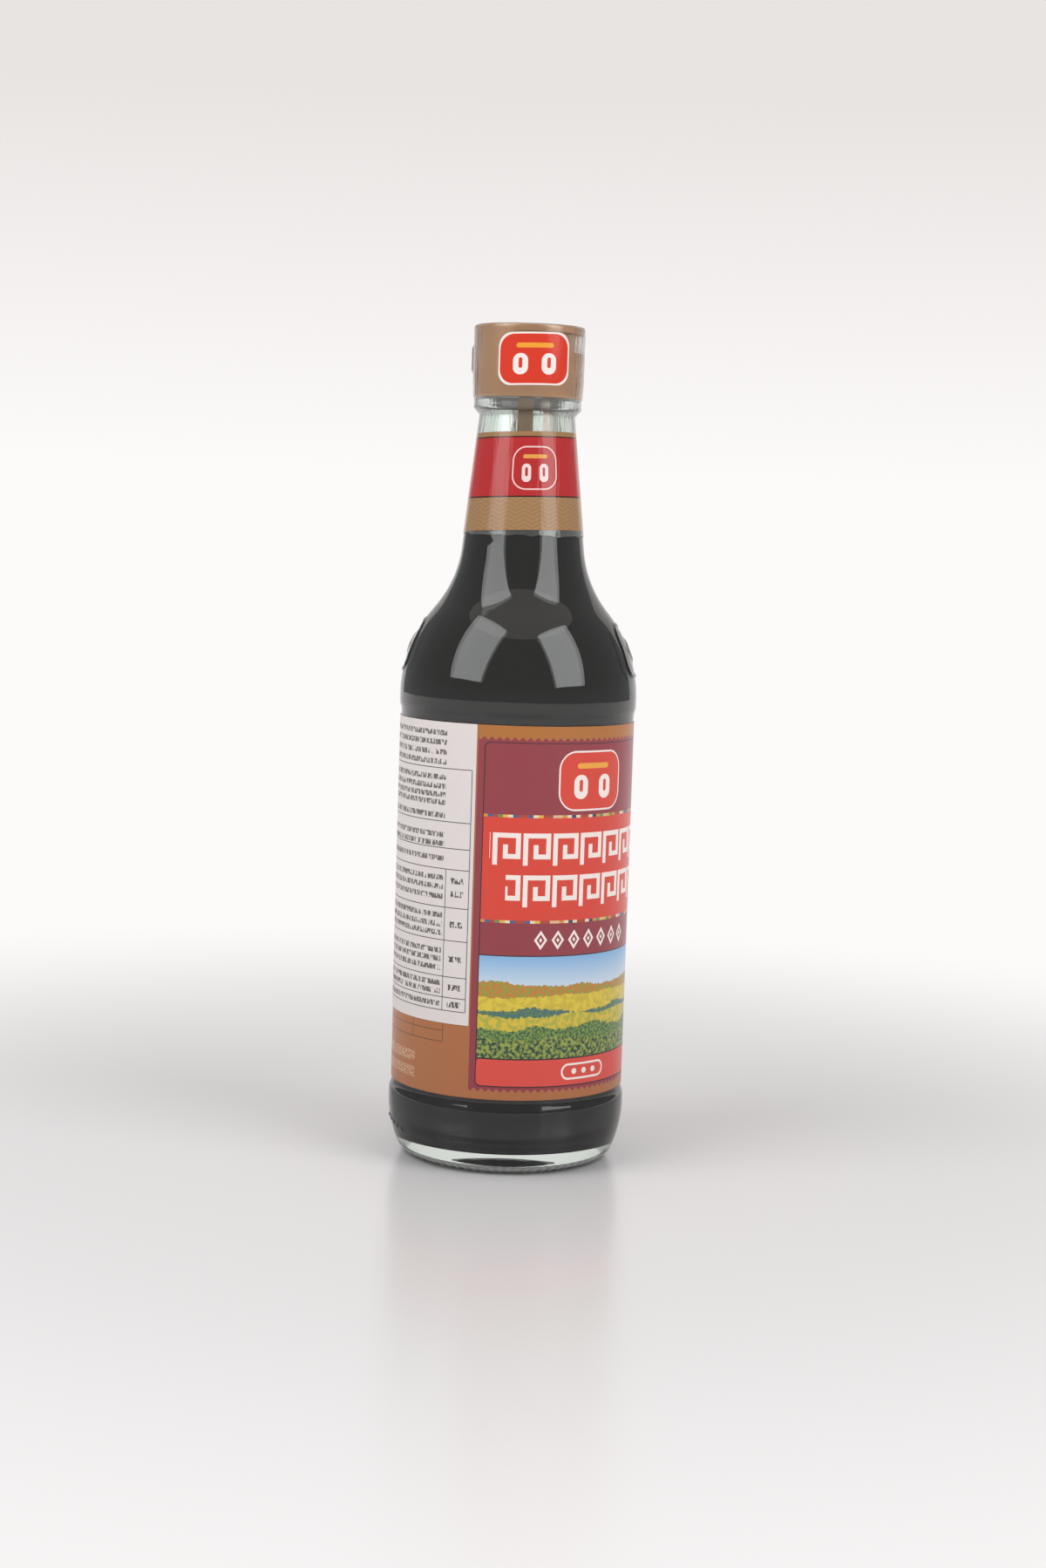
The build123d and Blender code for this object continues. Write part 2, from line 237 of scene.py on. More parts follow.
def inside(top, reach=0.0):
    """Inside of the glass up to a height in the neck, moved into the wall by a reach."""
    dome = PUNT_HEIGHT + BASE_THICKNESS - FLOOR_DOME_R
    inner = PANEL_R - WALL
    span = FLOOR_DOME_R + FLOOR_CORNER_R
    corner = (inner - FLOOR_CORNER_R, dome + sqrt(span ** 2 - (inner - FLOOR_CORNER_R) ** 2))
    turn = atan2(corner[1] - dome, corner[0])
    points = arc((0, dome), FLOOR_DOME_R - reach, pi / 2, turn, 1.0)
    points += arc(corner, FLOOR_CORNER_R + reach, turn - pi, 0)
    points += run((inner + reach, corner[1]), (inner + reach, PANEL_TOP), 8.0)
    points += ogee((inner + reach, PANEL_TOP), (SHOULDER_R - WALL + reach, SHOULDER_LOW))
    points += [p for p in shoulder(WALL - reach, 1.2) if p[1] < top]
    return points + [(neck_radius(top) - (WALL - reach) / cos(NECK_TAPER), top)]


def underside():
    """The hollow under the base, from the axis to the bearing ring."""
    edge = BEARING_INNER_R - PUNT_FLANK
    radius = (edge ** 2 + (PUNT_HEIGHT - PUNT_FLANK) ** 2) / (2 * (PUNT_HEIGHT - PUNT_FLANK))
    turn = asin((radius - PUNT_HEIGHT + PUNT_FLANK) / radius)
    return arc((0, PUNT_HEIGHT - radius), radius, pi / 2, turn, 1.0) + [(BEARING_INNER_R, 0)]


# ---------------------------------------------------------------- making a piece


def lathe(name, section, closed=True, turn=360.0, start=0.0):
    """A round piece: its half section spun about Z, all round or over part of a turn."""
    work = bmesh.new()
    points = [p for p, after in zip(section, section[1:])
              if hypot(p[0] - after[0], p[1] - after[1]) > SAME_POINT] + section[-1:]
    corners = [work.verts.new((max(r, 0) * MM, 0, z * MM)) for r, z in points]
    pairs = list(zip(corners, corners[1:]))
    if closed:
        pairs.append((corners[-1], corners[0]))
    edges = [work.edges.new(pair) for pair in pairs]
    whole = turn == 360.0
    if not whole:
        bmesh.ops.contextual_create(work, geom=edges)
    geometry = corners + edges + work.faces[:]
    bmesh.ops.spin(work, geom=geometry, cent=(0, 0, 0), axis=(0, 0, 1), angle=radians(turn),
                   steps=round(TURN_STEPS * turn / 360), use_merge=whole)
    swing = Matrix.Rotation(radians(start - 90), 3, "Z")
    bmesh.ops.rotate(work, verts=work.verts, cent=(0, 0, 0), matrix=swing)
    return finish(name, work)


def finish(name, work):
    """Turns a bmesh into an object with its faces outwards, smooth except at sharp edges."""
    bmesh.ops.remove_doubles(work, verts=work.verts, dist=1e-7)
    bmesh.ops.recalc_face_normals(work, faces=work.faces)
    mesh = bpy.data.meshes.new(name)
    work.to_mesh(mesh)
    work.free()
    mesh.shade_smooth()
    mesh.set_sharp_from_angle(angle=radians(EDGE_ANGLE))
    piece = bpy.data.objects.new(name, mesh)
    bpy.context.scene.collection.objects.link(piece)
    return piece


def place(piece, material, slot, *nodes):
    """Gives a piece its material and its body, and hides the CAD nodes it stands for."""
    piece.data.materials.append(material)
    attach(piece, "root")
    if nodes:
        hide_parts(*nodes)


def azimuth_of(point):
    """Azimuth of a point in degrees, from -180 to 180."""
    return degrees(atan2(point.x, -point.y))


def apart(azimuth, other):
    """Signed difference of two azimuths, from -180 to 180."""
    return (azimuth - other + 180) % 360 - 180


def unroll(piece, across, up):
    """A UV map that rolls the piece out flat: across(azimuth) and up(point), both in millimetres."""
    layer = piece.data.uv_layers.new(name="Unrolled").data
    for face in piece.data.polygons:
        middle = azimuth_of(face.center)
        for loop in face.loop_indices:
            point = piece.data.vertices[piece.data.loops[loop].vertex_index].co
            azimuth = middle + apart(azimuth_of(point), middle)
            layer[loop].uv = (across(azimuth), up(point))


def push(piece, amount):
    """Moves the points of a round piece's outside along the radius, by amount(azimuth, height) in mm."""
    normals = [vertex.normal.copy() for vertex in piece.data.vertices]
    for vertex, normal in zip(piece.data.vertices, normals):
        radial = Vector((vertex.co.x, vertex.co.y, 0))
        if radial.length > 1e-6 and normal.dot(radial) > 0:
            step = amount(azimuth_of(vertex.co), vertex.co.z / MM)
            vertex.co += radial.normalized() * step * MM


# ---------------------------------------------------------------- materials
SAUCE_CLOUD = 25.0         # size of a cloud in the sauce, in mm
RESIDUE_CLOUD = 4.0
FLOW_MARK = 10 / 3         # flow marks across the cap; they are drawn out upwards
FLOW_DRAW = 0.15


def linear(code):
    """A linear colour from an sRGB hex value."""
    channels = [int(code[i:i + 2], 16) / 255 for i in (1, 3, 5)]
    return [c / 12.92 if c <= 0.04045 else ((c + 0.055) / 1.055) ** 2.4 for c in channels] + [1.0]


def add(tree, kind, inputs=None, **settings):
    """Adds a node, with its settings and with its inputs linked or set."""
    made = tree.nodes.new("ShaderNode" + kind)
    for name, value in settings.items():
        setattr(made, name, value)
    for name, value in (inputs or {}).items():
        if isinstance(value, bpy.types.Node):
            value = value.outputs[0]
        if isinstance(value, bpy.types.NodeSocket):
            tree.links.new(value, made.inputs[name])
        else:
            made.inputs[name].default_value = value
    return made


def surface(name, inputs):
    """A material with one Principled surface, and its tree for the nodes that feed it."""
    material = bpy.data.materials.new(name)
    material.use_nodes = True
    tree = material.node_tree
    tree.nodes.clear()
    shader = add(tree, "BsdfPrincipled", inputs)
    add(tree, "OutputMaterial", {"Surface": shader})
    return material, tree, shader


def plate(tree, uv, centre, size, corner=0.0):
    """1 inside a rectangle of the print with rounded corners, in millimetres."""
    moved = add(tree, "VectorMath", {0: uv, 1: (*centre, 0)}, operation="SUBTRACT")
    folded = add(tree, "VectorMath", {0: moved}, operation="ABSOLUTE")
    core = (size[0] / 2 - corner, size[1] / 2 - corner, 0)
    past = add(tree, "VectorMath", {0: folded, 1: core}, operation="SUBTRACT")
    past = add(tree, "VectorMath", {0: past, 1: (0, 0, 0)}, operation="MAXIMUM")
    away = add(tree, "VectorMath", {0: past}, operation="LENGTH")
    return add(tree, "Math", {0: away.outputs["Value"], 1: max(corner, 0.001)}, operation="LESS_THAN")


def band(tree, uv, low, high):
    """1 between two heights of the print."""
    return plate(tree, uv, (0, (low + high) / 2), (4000, high - low))


def lozenge(tree, uv, centre, size):
    """1 inside a lozenge of the print."""
    moved = add(tree, "VectorMath", {0: uv, 1: (*centre, 0)}, operation="SUBTRACT")
    folded = add(tree, "VectorMath", {0: moved}, operation="ABSOLUTE")
    sides = add(tree, "VectorMath", {0: folded, 1: (2 / size[0], 2 / size[1], 0)}, operation="DOT_PRODUCT")
    return add(tree, "Math", {0: sides.outputs["Value"], 1: 1.0}, operation="LESS_THAN")


def repeated(tree, uv, pitch, phase=0.0):
    """The print's coordinates, repeated along the width at a pitch."""
    moved = add(tree, "VectorMath", {0: uv, 1: (phase, 0, 0)}, operation="SUBTRACT")
    return add(tree, "VectorMath", {0: moved, 1: (pitch / 2, 900, 900), 2: (-pitch / 2, -900, -900)},
               operation="WRAP")


def both(tree, first, second):
    """1 where two masks are both 1."""
    return add(tree, "Math", {0: first, 1: second}, operation="MULTIPLY")


def either(tree, masks):
    """1 where any of the masks is 1."""
    total = masks[0]
    for mask in masks[1:]:
        total = add(tree, "Math", {0: total, 1: mask}, operation="MAXIMUM")
    return total


def ink(tree, below, mask, colour):
    """Prints a colour over what is below it, where a mask is 1."""
    over = linear(colour) if isinstance(colour, str) else colour
    mix = add(tree, "Mix", data_type="RGBA")
    for socket, value in ((0, mask), (6, below), (7, over)):
        if isinstance(value, bpy.types.Node):
            value = value.outputs[2] if value.bl_idname == "ShaderNodeMix" else value.outputs[0]
        if isinstance(value, bpy.types.NodeSocket):
            tree.links.new(value, mix.inputs[socket])
        else:
            mix.inputs[socket].default_value = value
    return mix


def grain(tree, uv, scale, detail=2.0):
    """Soft noise from 0 to 1, with features about 1 / scale mm across."""
    return add(tree, "TexNoise", {"Vector": uv, "Scale": scale, "Detail": detail}, noise_dimensions="2D")


def bumps(tree, shader, height, distance):
    """Relief from a height between 0 and 1, with its depth in millimetres."""
    bump = add(tree, "Bump", {"Height": height, "Distance": distance * MM, "Strength": 1.0})
    tree.links.new(bump.outputs[0], shader.inputs["Normal"])


def soda_lime_glass():
    """Moulded bottle glass: clear, with a faint green where it is thick."""
    return surface("Soda lime glass", {
        "Base Color": linear("#eef8f3"), "Roughness": 0.0, "IOR": 1.52, "Transmission Weight": 1.0})[0]


def dark_soy_sauce():
    """Dark soy sauce: so dense that it is black-brown, a little warmer where it is thin."""
    material, tree, shader = surface("Dark soy sauce", {"Roughness": 0.04, "IOR": 1.38})
    spot = add(tree, "TexCoord")
    cloud = add(tree, "TexNoise", {"Vector": spot.outputs["Object"], "Scale": 1 / (SAUCE_CLOUD * MM),
                                     "Detail": 1.0})
    colour = ink(tree, linear("#0a0605"), cloud, "#140b08")
    tree.links.new(colour.outputs[2], shader.inputs["Base Color"])
    return material


def dried_sauce():
    """A thin amber film of sauce on the inside of the neck."""
    material, tree, shader = surface("Dried soy sauce", {
        "Roughness": 0.15, "IOR": 1.38, "Transmission Weight": 0.35})
    spot = add(tree, "TexCoord")
    cloud = add(tree, "TexNoise", {"Vector": spot.outputs["Object"], "Scale": 1 / (RESIDUE_CLOUD * MM),
                                     "Detail": 3.0})
    colour = ink(tree, linear("#b4701c"), cloud, "#e2a53c")
    tree.links.new(colour.outputs[2], shader.inputs["Base Color"])
    return material


def gold_plastic():
    """Moulded polypropylene with a bronze-gold pigment: a soft sheen and fine flow marks."""
    material, tree, shader = surface("Gold polypropylene", {
        "Roughness": 0.36, "IOR": 1.49, "Metallic": 0.25, "Specular IOR Level": 0.5})
    spot = add(tree, "TexCoord")
    stretch = add(tree, "Mapping", {0: spot.outputs["Object"], 3: (1, 1, FLOW_DRAW)})
    flow = add(tree, "TexNoise", {"Vector": stretch, "Scale": 1 / (FLOW_MARK * MM), "Detail": 3.0})
    colour = ink(tree, linear("#a8784a"), flow, "#b88a58")
    tree.links.new(colour.outputs[2], shader.inputs["Base Color"])
    bumps(tree, shader, flow, 0.02)
    return material


# Inks, and sizes of the print in millimetres above the label's lower edge
MAROON = "#8f2f3b"
BLACK = "#241416"
RED = "#d63a26"
WHITE = "#f3e6e0"
FOOT_RED = "#d8463a"
PANEL_WIDE = 66.2          # printed front panel, inside its black line
FOOT_MID = 7.9             # middle of the red band at the foot
MAROON_MID = 46.4          # middle of the row of lozenges
SCALLOP = 2.2              # pitch and depth of the frame's scalloped edge
SCALLOP_DEPTH = 0.42
LABEL_FADE = 107.0         # height over which the gold ground turns yellower
TABLE_LEFT = -61.0         # middle of the ruled lines under the sticker
STRIP_PITCH = 1.45
STRIP_INKS = ("#d9b58c", "#3c5c88", "#d98a3a", "#e7d6b4", "#6d8750", "#a9402f", "#2d3f66", "#e2b13c")


def medallion(tree, colour, uv, centre, size):
    """A badge: a red plate with a white edge, a gold bar and two upright white rings."""
    wide, high = size
    colour = ink(tree, colour, plate(tree, uv, centre, size, high * 0.32), WHITE)
    colour = ink(tree, colour, plate(tree, uv, centre, (wide - 1.0, high - 1.0), high * 0.28), RED)
    bar = (centre[0], centre[1] + high * 0.25)
    colour = ink(tree, colour, plate(tree, uv, bar, (wide * 0.5, high * 0.09), high * 0.045), "#eda233")
    for side in (-1, 1):
        ring = (centre[0] + side * wide * 0.19, centre[1] - high * 0.1)
        colour = ink(tree, colour, plate(tree, uv, ring, (wide * 0.2, high * 0.4), wide * 0.095), WHITE)
        slot = (ring[0], ring[1] + high * 0.02)
        colour = ink(tree, colour, plate(tree, uv, slot, (wide * 0.05, high * 0.2), wide * 0.024), RED)
    return colour


def fret_row(tree, colour, uv, low, high, reach):
    """A row of white hooked strokes after a key fret, between two heights."""
    tall = high - low
    line = tall * 0.15
    cell = repeated(tree, uv, tall * 0.95)
    half = tall * 0.36
    strokes = ((-half, 0.5, line, 1.0), (half, 0.6, line, 0.8), (0.0, 0.925, 2 * half, 0.15),
               (half * 0.45, 0.275, half * 1.1, 0.15), (-half * 0.1, 0.42, line, 0.44))
    masks = [plate(tree, cell, (x, low + y * tall), (wide + (line if part < 0.2 else 0), tall * part))
             for x, y, wide, part in strokes]
    row = both(tree, either(tree, masks), plate(tree, uv, (0, (low + high) / 2), (2 * reach, tall)))
    return ink(tree, colour, row, WHITE)


def colour_strip(tree, colour, uv, low, high, reach):
    """A thin strip of small blocks in mixed inks."""
    cell = add(tree, "VectorMath", {0: uv, 1: (STRIP_PITCH, 90, 90)}, operation="SNAP")
    pick = add(tree, "TexWhiteNoise", {"Vector": cell}, noise_dimensions="2D")
    ramp = add(tree, "ValToRGB", {0: pick.outputs["Value"]})
    ramp.color_ramp.interpolation = "CONSTANT"
    stops = ramp.color_ramp.elements
    for number, code in enumerate(STRIP_INKS):
        stop = stops.new(number / len(STRIP_INKS)) if number else stops[0]
        stop.color = linear(code)
    return ink(tree, colour, plate(tree, uv, (0, (low + high) / 2), (2 * reach, high - low)), ramp)


def landscape(tree, colour, uv, low, high, reach):
    """A picture of farmland: a hazy sky over rolling fields."""
    frame_mask = plate(tree, uv, (0, (low + high) / 2), (2 * reach, high - low))
    height = add(tree, "SeparateXYZ", {0: uv})
    haze = add(tree, "MapRange", {0: height.outputs[1], 1: low + 14, 2: high})
    picture = ink(tree, linear("#eef1ee"), haze, "#7fb0dc")
    # Level, swing, pace along the width, two inks and the size of their flecks, from the back to the front
    fields = ((20.5, 3.0, 0.05, "#c9742c", "#8a9a3a", 1.1), (17.5, 3.4, 0.04, "#dcc23a", "#c8b032", 0.5),
              (13.0, 2.6, 0.06, "#5d8136", "#38617c", 1.6), (11.6, 2.2, 0.05, "#d6b936", "#a9aa3c", 0.6),
              (8.0, 2.4, 0.07, "#2c5a3a", "#7d9440", 1.3), (4.6, 1.6, 0.06, "#1f4232", "#93a044", 0.9))
    for number, (level, swing, pace, first, second, fleck) in enumerate(fields):
        shifted = add(tree, "VectorMath", {0: uv, 1: (37.0 * number, 0, 0)}, operation="ADD")
        flat = add(tree, "VectorMath", {0: shifted, 1: (1, 0, 0)}, operation="MULTIPLY")
        roll = grain(tree, flat, pace, 1.0)
        tuft = grain(tree, shifted, 0.9, 2.0)
        crest = add(tree, "Math", {0: roll, 1: 2.0 * swing, 2: low + level - swing}, operation="MULTIPLY_ADD")
        crest = add(tree, "Math", {0: tuft, 1: 1.6, 2: crest}, operation="MULTIPLY_ADD")
        mask = add(tree, "Math", {0: height.outputs[1], 1: crest}, operation="LESS_THAN")
        spots = add(tree, "MapRange", {0: grain(tree, shifted, fleck, 3.0), 1: 0.4, 2: 0.6})
        picture = ink(tree, picture, mask, ink(tree, linear(first), spots, second).outputs[2])
    return ink(tree, colour, frame_mask, picture.outputs[2])


def printed_label():
    """Varnished label paper in gold ink, with a framed panel in maroon, red and a small picture."""
    material, tree, shader = surface("Varnished label paper", {
        "Roughness": 0.42, "IOR": 1.5, "Coat Weight": 0.35, "Coat Roughness": 0.08})
    uv = add(tree, "UVMap", uv_map="Unrolled").outputs[0]
    split = add(tree, "SeparateXYZ", {0: uv})
    fade = add(tree, "MapRange", {0: split.outputs[1], 1: 0.0, 2: LABEL_FADE})
    colour = ink(tree, linear("#a9673a"), fade, "#ad6a24")
    wave = add(tree, "Math", {0: split.outputs[0], 1: 2 * pi / SCALLOP}, operation="MULTIPLY")
    wave = add(tree, "Math", {0: wave}, operation="SINE")
    wave = add(tree, "Math", {0: wave, 1: SCALLOP_DEPTH}, operation="MULTIPLY")
    shift = add(tree, "CombineXYZ", {1: wave})
    wavy = add(tree, "VectorMath", {0: uv, 1: shift}, operation="ADD")
    colour = ink(tree, colour, plate(tree, wavy, (0, 53.2), (70.6, 101.0)), MAROON)
    colour = ink(tree, colour, plate(tree, uv, (0, 53.2), (66.8, 99.0), 1.6), BLACK)
    colour = ink(tree, colour, plate(tree, uv, (0, 53.25), (PANEL_WIDE, 98.4), 1.5), MAROON)
    colour = ink(tree, colour, plate(tree, uv, (0, 66.8), (PANEL_WIDE, 30.0)), RED)
    colour = ink(tree, colour, plate(tree, uv, (0, FOOT_MID), (PANEL_WIDE, 7.7), 1.4), FOOT_RED)
    colour = ink(tree, colour, plate(tree, uv, (0, 26.8), (PANEL_WIDE, 30.2)), BLACK)
    colour = colour_strip(tree, colour, uv, 81.4, 82.2, PANEL_WIDE / 2)
    colour = colour_strip(tree, colour, uv, 51.2, 52.0, PANEL_WIDE / 2)
    colour = landscape(tree, colour, uv, 12.1, 41.6, PANEL_WIDE / 2)
    colour = medallion(tree, colour, uv, (0, 91.9), (23.4, 17.2))
    colour = fret_row(tree, colour, uv, 67.8, 77.0, 31.1)
    colour = fret_row(tree, colour, uv, 55.9, 65.0, 26.2)
    cell = repeated(tree, uv, 5.2)
    ring = ink(tree, linear(MAROON), lozenge(tree, cell, (0, MAROON_MID), (3.9, 5.6)), WHITE)
    ring = ink(tree, ring, lozenge(tree, cell, (0, MAROON_MID), (2.3, 3.3)), MAROON)
    ring = ink(tree, ring, lozenge(tree, cell, (0, MAROON_MID), (1.0, 1.4)), WHITE)
    colour = ink(tree, colour, plate(tree, uv, (0, MAROON_MID), (36.4, 7.0)), ring.outputs[2])
    colour = ink(tree, colour, plate(tree, uv, (0, FOOT_MID), (16.0, 4.8), 2.4), WHITE)
    colour = ink(tree, colour, plate(tree, uv, (0, FOOT_MID), (14.8, 3.6), 1.8), FOOT_RED)
    dots = plate(tree, repeated(tree, uv, 3.6), (0, FOOT_MID), (1.7, 1.7), 0.85)
    colour = ink(tree, colour, both(tree, dots, plate(tree, uv, (0, FOOT_MID), (10.6, 3.0))), WHITE)
    rules = [plate(tree, uv, (TABLE_LEFT, v), (34, 0.22)) for v in (18.6, 15.4)]
    rules += [plate(tree, uv, (u, 18.2), (0.22, 5.6)) for u in (TABLE_LEFT + 17, TABLE_LEFT + 5)]
    colour = ink(tree, colour, either(tree, rules), "#5b3a22")
    code = plate(tree, repeated(tree, uv, 0.8), (0, 9.6), (0.5, 3.0))
    code = either(tree, [code, plate(tree, repeated(tree, uv, 0.8), (0, 4.9), (0.5, 3.0))])
    speck = add(tree, "Math", {0: grain(tree, uv, 2.2, 1.0), 1: 0.5}, operation="GREATER_THAN")
    code = both(tree, both(tree, code, speck), plate(tree, uv, (-66, 7.2), (22, 9)))
    colour = ink(tree, colour, code, "#d9b899")
    tree.links.new(colour.outputs[2], shader.inputs["Base Color"])
    bumps(tree, shader, grain(tree, uv, 0.5, 2.0), 0.02)
    return material


# Heights of the sticker's fine rules, and of its rows of grey flecks
STICKER_RULES = (94.2, 79.0, 71.4, 65.4, 54.4, 44.9, 34.4, 28.4, 24.6)
STICKER_TEXT = (104.3, 101.6, 98.8, 96.0, 91.6, 89.0, 86.6, 84.4, 80.7, 75.2, 72.6, 68.4, 62.8, 60.2, 57.4,
                52.0, 49.4, 46.9, 41.8, 39.4, 36.8, 32.4, 30.0, 26.4)
STICKER_VALUES = (62.2, 58.4, 49.6, 39.6, 31.4, 26.5)


def printed_sticker():
    """Matt white sticker paper with fine black rules and rows of grey flecks."""
    material, tree, shader = surface("Matt sticker paper", {"Roughness": 0.5, "IOR": 1.5})
    uv = add(tree, "UVMap", uv_map="Unrolled").outputs[0]
    colour = ink(tree, linear("#e2dad7"), grain(tree, uv, 0.2, 1.0), "#dcd5d3")
    stretch = add(tree, "VectorMath", {0: uv, 1: (1.5, 0.45, 1)}, operation="MULTIPLY")
    words = add(tree, "Math", {0: grain(tree, stretch, 1.0, 3.0), 1: 0.47}, operation="GREATER_THAN")
    rows = either(tree, [band(tree, uv, v - 0.75, v + 0.75) for v in STICKER_TEXT])
    column = plate(tree, uv, (-61.0, 60), (31, 200))
    colour = ink(tree, colour, both(tree, both(tree, rows, words), column), "#6f6868")
    value_rows = either(tree, [band(tree, uv, v - 0.85, v + 0.85) for v in STICKER_VALUES])
    value = both(tree, both(tree, value_rows, words), plate(tree, uv, (-40.8, 60), (4.2, 200)))
    colour = ink(tree, colour, value, "#5a5454")
    rules = [plate(tree, uv, (-67.0, v), (60.0, 0.24)) for v in STICKER_RULES]
    rules += [plate(tree, uv, (-37.0, 59.4), (0.24, 69.6)), plate(tree, uv, (-44.6, 45.0), (0.24, 40.8))]
    colour = ink(tree, colour, either(tree, rules), "#4b4545")
    tree.links.new(colour.outputs[2], shader.inputs["Base Color"])
    bumps(tree, shader, grain(tree, uv, 3.0, 3.0), 0.01)
    return material


# Print of the film, in millimetres above the floor on the camera's side
FILM_GOLD = "#9c7750"
FILM_RED = "#b32c2e"
BADGES = 3                 # round the neck
BADGE_PHASE = 2.9
BADGE_HEIGHT = 203.0
CAP_BADGE = (1.7, 234.0)
CAP_BADGE_SIZE = (21.6, 15.0)


def printed_film():
    """Clear shrink film with bands and badges printed on its inner side, and fine shrink wrinkles."""
    material, tree, shader = surface("Printed shrink film", {"Roughness": 0.12, "IOR": 1.5})
    uv = add(tree, "UVMap", uv_map="Unrolled").outputs[0]
    split = add(tree, "SeparateXYZ", {0: uv})
    zig = add(tree, "Math", {0: split.outputs[0], 1: 2.3}, operation="PINGPONG")
    zag = add(tree, "Math", {0: zig, 1: 0.55, 2: split.outputs[1]}, operation="MULTIPLY_ADD")
    lines = add(tree, "Math", {0: zag, 1: 1.25}, operation="MODULO")
    lines = add(tree, "Math", {0: lines, 1: 0.3}, operation="LESS_THAN")
    faint = add(tree, "Math", {0: lines, 1: 0.35}, operation="MULTIPLY")
    gold = ink(tree, linear(FILM_GOLD), faint, "#b8977a")
    colour = ink(tree, linear("#ffffff"), band(tree, uv, 185.3, 194.9), gold.outputs[2])
    colour = ink(tree, colour, band(tree, uv, 212.0, 213.5), FILM_GOLD)
    colour = ink(tree, colour, band(tree, uv, 194.7, 212.15), "#2a1a1c")
    colour = ink(tree, colour, band(tree, uv, 195.1, 211.8), FILM_RED)
    cell = repeated(tree, uv, 2 * pi * PRINT_R / BADGES, BADGE_PHASE)
    inner = plate(tree, cell, (0, BADGE_HEIGHT), (12.9, 11.7), 3.8)
    outline = add(tree, "Math", {0: 1.0, 1: inner}, operation="SUBTRACT")
    badge = both(tree, plate(tree, cell, (0, BADGE_HEIGHT), (13.7, 12.5), 4.2), outline)
    colour = ink(tree, colour, badge, "#ecc9c4")
    colour = ink(tree, colour, plate(tree, cell, (0, 206.3), (7.4, 1.1), 0.5), "#e2a04a")
    for side in (-1, 1):
        colour = ink(tree, colour, plate(tree, cell, (side * 2.6, 201.6), (2.7, 5.2), 1.3), "#ecd6d2")
        colour = ink(tree, colour, plate(tree, cell, (side * 2.6, 201.9), (0.8, 2.6), 0.4), FILM_RED)
    cap_badge = plate(tree, uv, CAP_BADGE, CAP_BADGE_SIZE, 4.0)
    colour = ink(tree, colour, cap_badge, WHITE)
    colour = medallion(tree, colour, uv, CAP_BADGE, CAP_BADGE_SIZE)
    printed = either(tree, [band(tree, uv, 185.3, 213.5), cap_badge])
    clear = add(tree, "Math", {0: 1.0, 1: printed}, operation="SUBTRACT")
    tree.links.new(clear.outputs[0], shader.inputs["Transmission Weight"])
    tree.links.new(colour.outputs[2], shader.inputs["Base Color"])
    stretch = add(tree, "VectorMath", {0: uv, 1: (1.0, 0.08, 1)}, operation="MULTIPLY")
    bumps(tree, shader, grain(tree, stretch, 0.9, 3.0), 0.09)
    return material


# ---------------------------------------------------------------- the pieces


def ornament(azimuth, height):
    """Height of the raised ornament on the shoulder, in mm."""
    for side in (-90, 90):
        x = abs(radians(apart(azimuth, SEAM_AZIMUTH + side)) * RELIEF_R)
        y = abs(height - SHOULDER_TURN - RELIEF_RISE)
        inner_x = max(x - RELIEF_WIDTH / 2 + RELIEF_CORNER_R, 0)
        inner_y = max(y - RELIEF_HEIGHT / 2 + RELIEF_CORNER_R, 0)
        deep = RELIEF_CORNER_R - hypot(inner_x, inner_y)
        flat = min(RELIEF_WIDTH / 2 - x, RELIEF_HEIGHT / 2 - y, deep)
        if 0 < flat < RELIEF_LINE:
            return RELIEF_DEPTH * sin(pi * flat / RELIEF_LINE) ** 0.5
        if x / RELIEF_MARK[0] + y / RELIEF_MARK[1] < 1:
            return RELIEF_DEPTH * min(1, RELIEF_FLANK * (1 - x / RELIEF_MARK[0] - y / RELIEF_MARK[1]))
    return 0.0


def mould_relief(azimuth, height):
    """Ornament, parting line and a row of raised dots on the heel."""
    raised = 0.0
    if SHOULDER_TURN < height < SHOULDER_TURN + RELIEF_REACH:
        raised = ornament(azimuth, height)
    if SHOULDER_LOW < height < NECK_TOP:
        aside = min(abs(apart(azimuth, SEAM_AZIMUTH)), abs(apart(azimuth, SEAM_AZIMUTH + 180)))
        raised += SEAM_DEPTH * max(0, 1 - radians(aside) * SEAM_R / SEAM_WIDTH)
    for number in range(DOTS):
        x = radians(apart(azimuth, DOT_AZIMUTH + DOT_PITCH * number)) * HEEL_R
        y = height - DOT_TOP + DOT_DROP * number
        raised += DOT_RISE * max(0, 1 - (x * x + y * y) / DOT_SPREAD)
    return raised


def bottle():
    """The glass, with its raised ornaments and with notches round its bearing ring."""
    piece = lathe("Bottle_Glass", outside() + list(reversed(inside(NECK_TOP))) + underside())
    push(piece, mould_relief)
    for vertex in piece.data.vertices:
        radius = hypot(vertex.co.x, vertex.co.y) / MM
        if radius > NOTCH_INNER_R and vertex.co.z < NOTCH_FADE * MM:
            ripple = 0.5 - 0.5 * cos(radians(azimuth_of(vertex.co) * NOTCHES))
            fade = max(0, 1 - vertex.co.z / (NOTCH_FADE * MM))
            vertex.co.z += NOTCH_DEPTH * ripple ** 2 * fade * MM
    place(piece, soda_lime_glass(), "clear_glass", "glass_bottle")


def sauce():
    """The sauce, up to its level and just into the glass round it."""
    piece = lathe("Soy_Sauce", inside(FILL, SAUCE_REACH) + [(0, FILL)])
    place(piece, dark_soy_sauce(), "soy_sauce", "soy_sauce")


